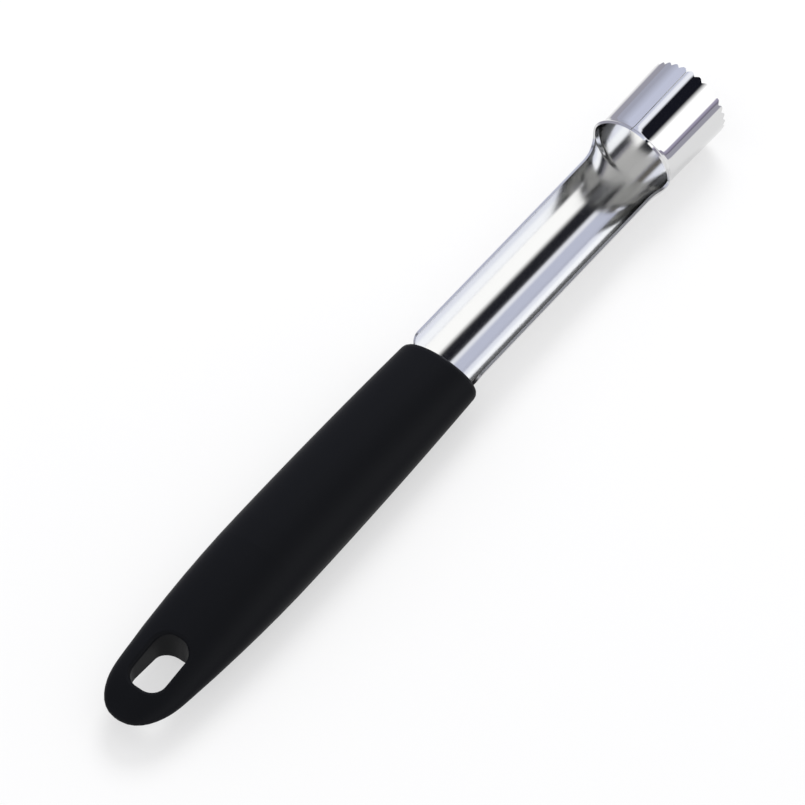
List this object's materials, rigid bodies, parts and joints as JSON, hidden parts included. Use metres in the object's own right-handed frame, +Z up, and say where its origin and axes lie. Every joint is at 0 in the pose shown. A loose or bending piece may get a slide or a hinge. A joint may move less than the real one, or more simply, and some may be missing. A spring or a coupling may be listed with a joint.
{
  "type": "apple corer",
  "caption": "Hand corer: rolled steel tube with a toothed mouth on an open trough shank, in an oval moulded handle with a hang slot.",
  "frame": {"origin": "on the table below the middle of the tool, midway along its length and across its width", "axes": "+X along the tool from the butt to the toothed mouth, +Y to its left, +Z up through the open side of the trough"},
  "size_m": [0.2023, 0.0226, 0.0216],
  "materials": {
    "polished_steel": "mirror-polished stainless steel sheet",
    "moulded_black": "moulded polypropylene, fine matte skin with a soft sheen"
  },
  "bodies": {
    "root": {"blade": "polished_steel", "handle": "moulded_black"}
  },
  "joints": []
}
